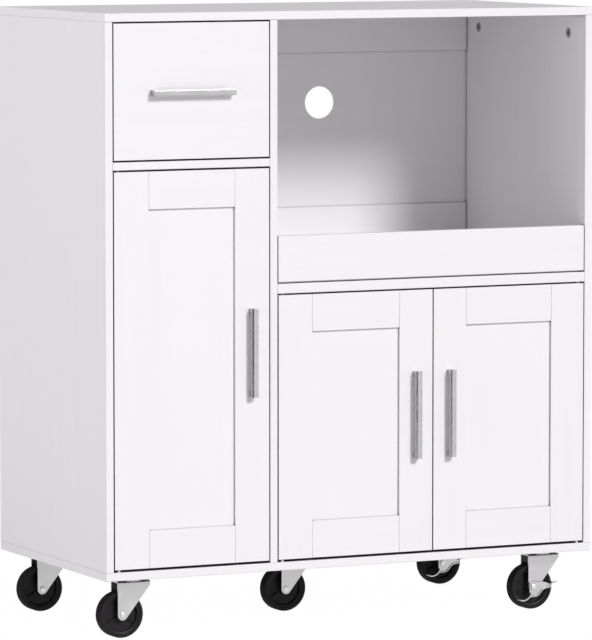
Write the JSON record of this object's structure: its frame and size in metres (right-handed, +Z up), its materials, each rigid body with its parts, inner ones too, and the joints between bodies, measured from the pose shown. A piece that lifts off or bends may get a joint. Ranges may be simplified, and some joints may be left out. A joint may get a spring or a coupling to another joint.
{
  "type": "microwave cart",
  "caption": "White kitchen cart on swivel casters: microwave bay with a low lip and a cable hole, a drawer, and cupboards with recessed-panel doors on pivot hinges.",
  "frame": {"origin": "on the floor, under the middle of the cart's overall box", "axes": "+Z up, +X to the right when facing the doors, -Y out of the front"},
  "size_m": [0.8, 0.4136, 0.913],
  "materials": {
    "white_board": "white melamine on particle board, faint embossed grain",
    "front_board": "white melamine with faint embossed grain",
    "thin_board": "white faced hardboard",
    "handle_metal": "satin",
    "runner_steel": "zinc plated",
    "small_steel": "zinc plated",
    "caster_steel": "bright zinc plated, pressed",
    "rivet": "bright zinc plated",
    "cam_zinc": "raw zinc casting",
    "dowel_wood": "bare beech",
    "white_nylon": "moulded",
    "wheel": "moulded, slightly glossy"
  },
  "bodies": {
    "carcass": {"top_panel": "white_board", "bottom_panel": "white_board", "left_side_panel": "white_board", "right_side_panel": "white_board", "divider_panel": "white_board", "microwave_shelf": "white_board", "drawer_support": "white_board", "shelf_lip": "front_board", "back_rails": "white_board", "bay_back_panel": "thin_board", "left_back_panel": "thin_board", "cupboard_back_panel": "thin_board", "left_cupboard_shelf": "white_board", "right_cupboard_shelf": "white_board", "shelf_pins": "small_steel", "cam_locks": "cam_zinc", "dowels": "dowel_wood", "pivot_bushes": "white_nylon", "door_catches": "white_nylon", "cabinet_runners": "runner_steel", "caster_plates": "caster_steel", "caster_screws": "caster_steel"},
    "ball_cages": {"runner_ball_cages": "runner_steel"},
    "drawer": {"drawer_front": "front_board", "drawer_box_boards": "white_board", "drawer_bottom": "thin_board", "drawer_handle": "handle_metal", "drawer_runners": "runner_steel"},
    "left_door": {"left_door_frame": "front_board", "left_door_panel": "front_board", "left_door_handle": "handle_metal", "left_door_pivots": "small_steel", "left_door_strike": "small_steel"},
    "centre_door": {"centre_door_frame": "front_board", "centre_door_panel": "front_board", "centre_door_handle": "handle_metal", "centre_door_pivots": "small_steel", "centre_door_strike": "small_steel"},
    "right_door": {"right_door_frame": "front_board", "right_door_panel": "front_board", "right_door_handle": "handle_metal", "right_door_pivots": "small_steel", "right_door_strike": "small_steel"},
    "front_left_caster": {"front_left_fork": "caster_steel", "front_left_axle": "rivet"},
    "front_left_wheel": {"front_left_wheel": "wheel"},
    "rear_left_caster": {"rear_left_fork": "caster_steel", "rear_left_axle": "rivet"},
    "rear_left_wheel": {"rear_left_wheel": "wheel"},
    "centre_caster": {"centre_fork": "caster_steel", "centre_axle": "rivet"},
    "centre_wheel": {"centre_wheel": "wheel"},
    "rear_right_caster": {"rear_right_fork": "caster_steel", "rear_right_axle": "rivet"},
    "rear_right_wheel": {"rear_right_wheel": "wheel"},
    "front_right_caster": {"front_right_fork": "caster_steel", "front_right_axle": "rivet"},
    "front_right_wheel": {"front_right_wheel": "wheel"},
    "rear_right_brake": {"rear_right_brake": "caster_steel"},
    "front_right_brake": {"front_right_brake": "caster_steel"}
  },
  "joints": [
    {"name": "drawer_slide", "type": "slide", "parent": "carcass", "child": "drawer", "axis": [0, -1, 0], "range_m": [0, 0.27]},
    {"name": "ball_cage_slide", "type": "slide", "parent": "carcass", "child": "ball_cages", "axis": [0, -1, 0], "range_m": [0, 0.135]},
    {"name": "left_door_hinge", "type": "hinge", "parent": "carcass", "child": "left_door", "pos_m": [-0.3786, -0.18865, 0.1025], "axis": [0, 0, -1], "range_deg": [0, 100]},
    {"name": "centre_door_hinge", "type": "hinge", "parent": "carcass", "child": "centre_door", "pos_m": [-0.1156, -0.18865, 0.1025], "axis": [0, 0, -1], "range_deg": [0, 100]},
    {"name": "right_door_hinge", "type": "hinge", "parent": "carcass", "child": "right_door", "pos_m": [0.3786, -0.18865, 0.1025], "axis": [0, 0, 1], "range_deg": [0, 100]},
    {"name": "front_left_swivel", "type": "hinge", "parent": "carcass", "child": "front_left_caster", "pos_m": [-0.34, -0.14325, 0.08], "axis": [0, 0, 1], "continuous": true},
    {"name": "front_left_spin", "type": "hinge", "parent": "front_left_caster", "child": "front_left_wheel", "pos_m": [-0.358, -0.14325, 0.034], "axis": [0, 1, 0], "continuous": true},
    {"name": "rear_left_swivel", "type": "hinge", "parent": "carcass", "child": "rear_left_caster", "pos_m": [-0.34, 0.15675, 0.08], "axis": [0, 0, 1], "continuous": true},
    {"name": "rear_left_spin", "type": "hinge", "parent": "rear_left_caster", "child": "rear_left_wheel", "pos_m": [-0.358, 0.15675, 0.034], "axis": [0, 1, 0], "continuous": true},
    {"name": "centre_swivel", "type": "hinge", "parent": "carcass", "child": "centre_caster", "pos_m": [-0.007, -0.00125, 0.08], "axis": [0, 0, 1], "continuous": true},
    {"name": "centre_spin", "type": "hinge", "parent": "centre_caster", "child": "centre_wheel", "pos_m": [-0.025, -0.00125, 0.034], "axis": [0, 1, 0], "continuous": true},
    {"name": "rear_right_swivel", "type": "hinge", "parent": "carcass", "child": "rear_right_caster", "pos_m": [0.34, 0.15675, 0.08], "axis": [0, 0, 1], "continuous": true},
    {"name": "rear_right_spin", "type": "hinge", "parent": "rear_right_caster", "child": "rear_right_wheel", "pos_m": [0.322, 0.15675, 0.034], "axis": [0, 1, 0], "continuous": true},
    {"name": "front_right_swivel", "type": "hinge", "parent": "carcass", "child": "front_right_caster", "pos_m": [0.34, -0.14325, 0.08], "axis": [0, 0, 1], "continuous": true},
    {"name": "front_right_spin", "type": "hinge", "parent": "front_right_caster", "child": "front_right_wheel", "pos_m": [0.322, -0.14325, 0.034], "axis": [0, 1, 0], "continuous": true},
    {"name": "rear_right_brake_hinge", "type": "hinge", "parent": "rear_right_caster", "child": "rear_right_brake", "pos_m": [0.322, 0.15675, 0.034], "axis": [0, 1, 0], "range_deg": [0, 15]},
    {"name": "front_right_brake_hinge", "type": "hinge", "parent": "front_right_caster", "child": "front_right_brake", "pos_m": [0.322, -0.14325, 0.034], "axis": [0, 1, 0], "range_deg": [0, 15]}
  ],
  "couplings": [
    {"joint": "ball_cage_slide", "follows": "drawer_slide", "ratio": 0.5}
  ]
}
